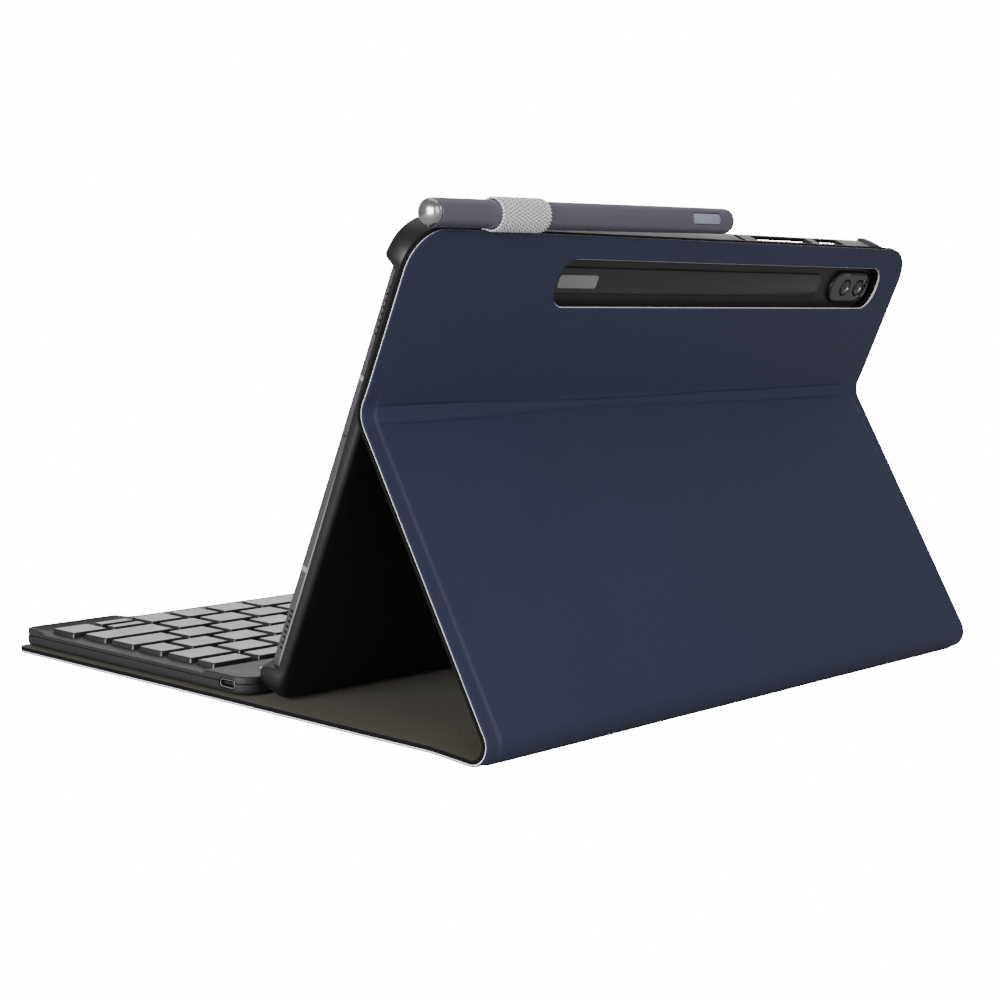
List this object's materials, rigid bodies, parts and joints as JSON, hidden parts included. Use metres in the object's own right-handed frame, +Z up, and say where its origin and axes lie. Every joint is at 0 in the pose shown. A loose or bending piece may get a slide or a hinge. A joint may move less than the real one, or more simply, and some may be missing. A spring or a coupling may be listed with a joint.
{
  "type": "tablet keyboard case",
  "caption": "Folding navy tablet case standing open, with a black corner shell round the tablet, a stylus in an elastic loop and a slim keyboard on the front panel.",
  "frame": {"origin": "on the table, under the middle of the standing case's bounding box", "axes": "+X towards the right hand of someone typing, +Y away from them towards the rear loop, +Z up"},
  "size_m": [0.256, 0.212, 0.1526],
  "materials": {
    "leather": "smooth imitation leather with a very fine grain, navy",
    "board": "rigid fibreboard",
    "lining": "short-nap microfibre, grey brown",
    "steel": "plain steel",
    "shell": "moulded polycarbonate, satin black",
    "tablet_metal": "anodised, fine satin, purple grey",
    "glass": "polished black display glass",
    "lens": "dark lens glass",
    "pen_strip": "gloss black",
    "elastic": "woven elastic, silver white",
    "stylus": "satin coated, slate",
    "chrome": "polished",
    "nib": "soft grey tip",
    "stylus_button": "pale slate, satin",
    "keyboard": "fine spark texture, black",
    "key": "smooth matt, dark grey",
    "rubber": "silicone sheet",
    "circuit": "glass-fibre board with solder mask",
    "battery": "foil pouch",
    "socket": "nickel plated",
    "lightguide": "clear moulded light guide"
  },
  "bodies": {
    "front_cover": {"front_skin": "leather", "front_board": "board", "front_lining": "lining", "panel_steel_strip": "steel"},
    "spine": {"spine_skin": "leather", "spine_strip": "board", "spine_lining": "lining"},
    "kickstand": {"kickstand_skin": "leather", "kickstand_board": "board", "kickstand_lining": "lining"},
    "tablet_holder": {"upper_skin": "leather", "upper_board": "board", "upper_lining": "lining", "pen_loop": "elastic", "tablet_shell": "shell", "tablet_body": "tablet_metal", "tablet_glass": "glass", "camera_plate": "lens", "camera_lens_main": "lens", "camera_lens_second": "lens", "pen_strip": "pen_strip"},
    "stylus": {"stylus_barrel": "stylus", "stylus_end_cap": "chrome", "stylus_nib": "nib"},
    "stylus_button": {"stylus_button": "stylus_button"},
    "power_button": {"power_button": "tablet_metal"},
    "volume_rocker": {"volume_rocker": "tablet_metal"},
    "keyboard": {"keyboard_tray": "keyboard", "keyboard_deck": "keyboard", "key_membrane": "rubber", "circuit_board": "circuit", "battery": "battery", "charging_socket": "socket", "indicator_lens": "lightguide", "keyboard_magnet": "steel"},
    "power_switch": {"power_switch": "key"},
    "key_escape": {"key_escape": "key"},
    "key_lock": {"key_lock": "key"},
    "key_backspace": {"key_backspace": "key"},
    "key_tab": {"key_tab": "key"},
    "key_backslash": {"key_backslash": "key"},
    "key_caps": {"key_caps": "key"},
    "key_enter": {"key_enter": "key"},
    "key_shift_left": {"key_shift_left": "key"},
    "key_shift_right": {"key_shift_right": "key"},
    "key_space": {"key_space": "key"},
    "key_up": {"key_up": "key"},
    "key_down": {"key_down": "key"},
    "key_left": {"key_left": "key"},
    "key_right": {"key_right": "key"},
    "keys_function_row": {"keys_function_row": "key"},
    "keys_number_row": {"keys_number_row": "key"},
    "keys_upper_letters": {"keys_upper_letters": "key"},
    "keys_home_letters": {"keys_home_letters": "key"},
    "keys_lower_letters": {"keys_lower_letters": "key"},
    "keys_left_modifiers": {"keys_left_modifiers": "key"},
    "keys_right_modifiers": {"keys_right_modifiers": "key"}
  },
  "joints": [
    {"name": "cover_hinge", "type": "hinge", "parent": "front_cover", "child": "spine", "pos_m": [0, 0.0856, 0.0013], "axis": [1, 0, 0], "range_deg": [-150, 0]},
    {"name": "stand_fold", "type": "hinge", "parent": "spine", "child": "kickstand", "pos_m": [0, 0.10511, 0.00335], "axis": [-1, 0, 0], "range_deg": [0, 121.21]},
    {"name": "mid_fold", "type": "hinge", "parent": "kickstand", "child": "tablet_holder", "pos_m": [0, 0.05457, 0.09089], "axis": [1, 0, 0], "range_deg": [0, 52.82]},
    {"name": "keyboard_lift_off", "type": "slide", "parent": "front_cover", "child": "keyboard", "axis": [0, 0, 1], "range_m": [0, 0.03]},
    {"name": "stylus_slide", "type": "slide", "parent": "tablet_holder", "child": "stylus", "axis": [0.9998, -0.0064, -0.0162], "range_m": [0, 0.117]},
    {"name": "stylus_button_press", "type": "slide", "parent": "stylus", "child": "stylus_button", "axis": [-0.0087, -0.9892, -0.146], "range_m": [0, 0.0004], "stiffness_N_per_m": 1500, "springref_m": -0.0003},
    {"name": "power_button_press", "type": "slide", "parent": "tablet_holder", "child": "power_button", "axis": [0, -0.3681, -0.9298], "range_m": [0, 0.0004], "stiffness_N_per_m": 3000, "springref_m": -0.0003},
    {"name": "volume_rock", "type": "hinge", "parent": "tablet_holder", "child": "volume_rocker", "pos_m": [-0.055, 0.06879, 0.14258], "axis": [0, -0.9298, 0.3681], "range_deg": [-1.2, 1.2], "stiffness_Nm_per_rad": 0.6},
    {"name": "power_switch_slide", "type": "slide", "parent": "keyboard", "child": "power_switch", "axis": [0, 1, 0.0052], "range_m": [0, 0.0035]},
    {"name": "escape_press", "type": "slide", "parent": "keyboard", "child": "key_escape", "axis": [0, 0.0052, -1], "range_m": [0, 0.001], "stiffness_N_per_m": 400, "springref_m": -0.0005},
    {"name": "lock_press", "type": "slide", "parent": "keyboard", "child": "key_lock", "axis": [0, 0.0052, -1], "range_m": [0, 0.001], "stiffness_N_per_m": 400, "springref_m": -0.0005},
    {"name": "backspace_press", "type": "slide", "parent": "keyboard", "child": "key_backspace", "axis": [0, 0.0052, -1], "range_m": [0, 0.001], "stiffness_N_per_m": 400, "springref_m": -0.0005},
    {"name": "tab_press", "type": "slide", "parent": "keyboard", "child": "key_tab", "axis": [0, 0.0052, -1], "range_m": [0, 0.001], "stiffness_N_per_m": 400, "springref_m": -0.0005},
    {"name": "backslash_press", "type": "slide", "parent": "keyboard", "child": "key_backslash", "axis": [0, 0.0052, -1], "range_m": [0, 0.001], "stiffness_N_per_m": 400, "springref_m": -0.0005},
    {"name": "caps_press", "type": "slide", "parent": "keyboard", "child": "key_caps", "axis": [0, 0.0052, -1], "range_m": [0, 0.001], "stiffness_N_per_m": 400, "springref_m": -0.0005},
    {"name": "enter_press", "type": "slide", "parent": "keyboard", "child": "key_enter", "axis": [0, 0.0052, -1], "range_m": [0, 0.001], "stiffness_N_per_m": 400, "springref_m": -0.0005},
    {"name": "shift_left_press", "type": "slide", "parent": "keyboard", "child": "key_shift_left", "axis": [0, 0.0052, -1], "range_m": [0, 0.001], "stiffness_N_per_m": 400, "springref_m": -0.0005},
    {"name": "shift_right_press", "type": "slide", "parent": "keyboard", "child": "key_shift_right", "axis": [0, 0.0052, -1], "range_m": [0, 0.001], "stiffness_N_per_m": 400, "springref_m": -0.0005},
    {"name": "space_press", "type": "slide", "parent": "keyboard", "child": "key_space", "axis": [0, 0.0052, -1], "range_m": [0, 0.001], "stiffness_N_per_m": 400, "springref_m": -0.0005},
    {"name": "up_press", "type": "slide", "parent": "keyboard", "child": "key_up", "axis": [0, 0.0052, -1], "range_m": [0, 0.001], "stiffness_N_per_m": 400, "springref_m": -0.0005},
    {"name": "down_press", "type": "slide", "parent": "keyboard", "child": "key_down", "axis": [0, 0.0052, -1], "range_m": [0, 0.001], "stiffness_N_per_m": 400, "springref_m": -0.0005},
    {"name": "left_press", "type": "slide", "parent": "keyboard", "child": "key_left", "axis": [0, 0.0052, -1], "range_m": [0, 0.001], "stiffness_N_per_m": 400, "springref_m": -0.0005},
    {"name": "right_press", "type": "slide", "parent": "keyboard", "child": "key_right", "axis": [0, 0.0052, -1], "range_m": [0, 0.001], "stiffness_N_per_m": 400, "springref_m": -0.0005},
    {"name": "function_row_press", "type": "slide", "parent": "keyboard", "child": "keys_function_row", "axis": [0, 0.0052, -1], "range_m": [0, 0.001], "stiffness_N_per_m": 4400, "springref_m": -0.0005},
    {"name": "number_row_press", "type": "slide", "parent": "keyboard", "child": "keys_number_row", "axis": [0, 0.0052, -1], "range_m": [0, 0.001], "stiffness_N_per_m": 4800, "springref_m": -0.0005},
    {"name": "upper_letters_press", "type": "slide", "parent": "keyboard", "child": "keys_upper_letters", "axis": [0, 0.0052, -1], "range_m": [0, 0.001], "stiffness_N_per_m": 4400, "springref_m": -0.0005},
    {"name": "home_letters_press", "type": "slide", "parent": "keyboard", "child": "keys_home_letters", "axis": [0, 0.0052, -1], "range_m": [0, 0.001], "stiffness_N_per_m": 4400, "springref_m": -0.0005},
    {"name": "lower_letters_press", "type": "slide", "parent": "keyboard", "child": "keys_lower_letters", "axis": [0, 0.0052, -1], "range_m": [0, 0.001], "stiffness_N_per_m": 4000, "springref_m": -0.0005},
    {"name": "left_modifiers_press", "type": "slide", "parent": "keyboard", "child": "keys_left_modifiers", "axis": [0, 0.0052, -1], "range_m": [0, 0.001], "stiffness_N_per_m": 1600, "springref_m": -0.0005},
    {"name": "right_modifiers_press", "type": "slide", "parent": "keyboard", "child": "keys_right_modifiers", "axis": [0, 0.0052, -1], "range_m": [0, 0.001], "stiffness_N_per_m": 800, "springref_m": -0.0005}
  ],
  "couplings": [
    {"joint": "mid_fold", "follows": "stand_fold", "ratio": 0.4357}
  ]
}
